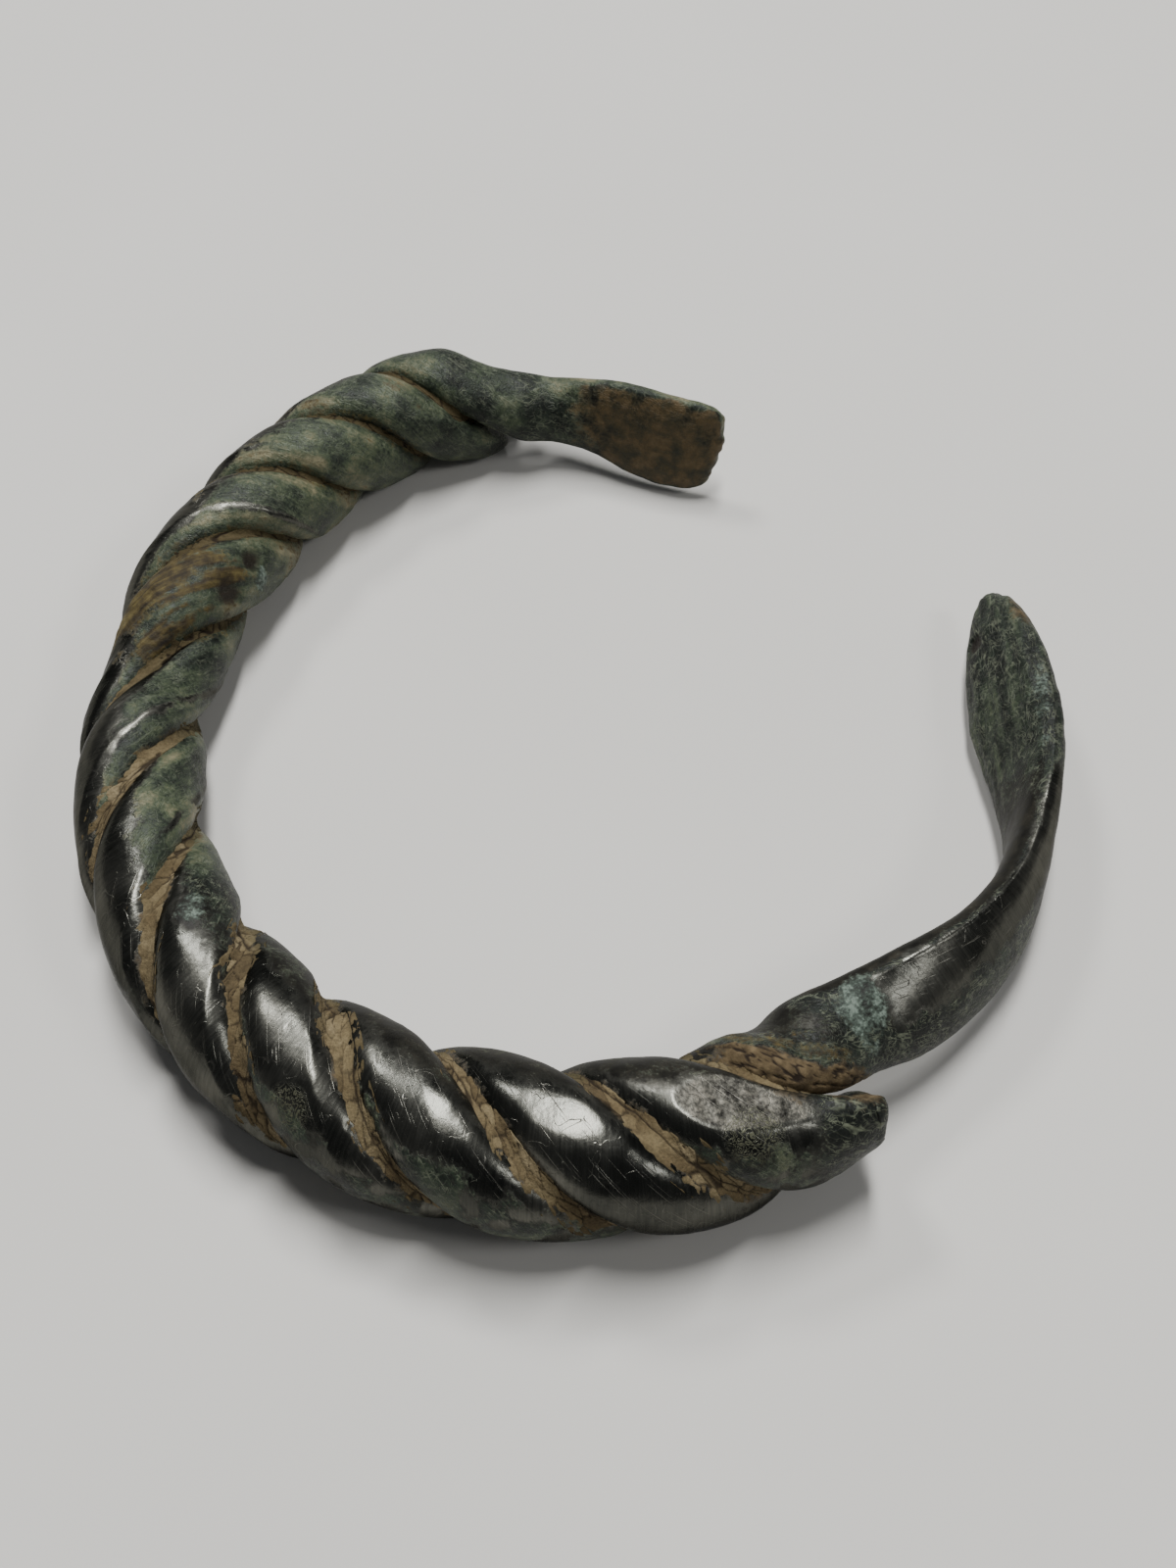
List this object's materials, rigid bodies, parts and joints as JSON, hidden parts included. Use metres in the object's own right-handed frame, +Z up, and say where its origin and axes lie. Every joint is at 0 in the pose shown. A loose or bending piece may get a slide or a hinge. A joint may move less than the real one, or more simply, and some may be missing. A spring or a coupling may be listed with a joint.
{
  "type": "twisted bangle",
  "caption": "Open bronze bangle of rods twisted like a rope, ending in flat hammered terminals, with a broken rod end; an ancient ornament worn round a wrist, lying loose.",
  "frame": {"origin": "middle of the outline seen from above, on the surface that the ring lies on", "axes": "+Z up out of the plane of the ring, +X towards the side with the long terminal, -Y towards the broken rod end"},
  "size_m": [0.0738, 0.0788, 0.0118],
  "materials": {
    "bronze": "dark worn bronze, polished on the crests, with grey-green patina and brown crust in the hollows and on the terminals",
    "earth": "tan dried earth packed into the grooves, cracked and dull"
  },
  "bodies": {
    "root": {"terminal_rod": "bronze", "broken_rod": "bronze", "hidden_rod": "bronze"}
  },
  "joints": []
}
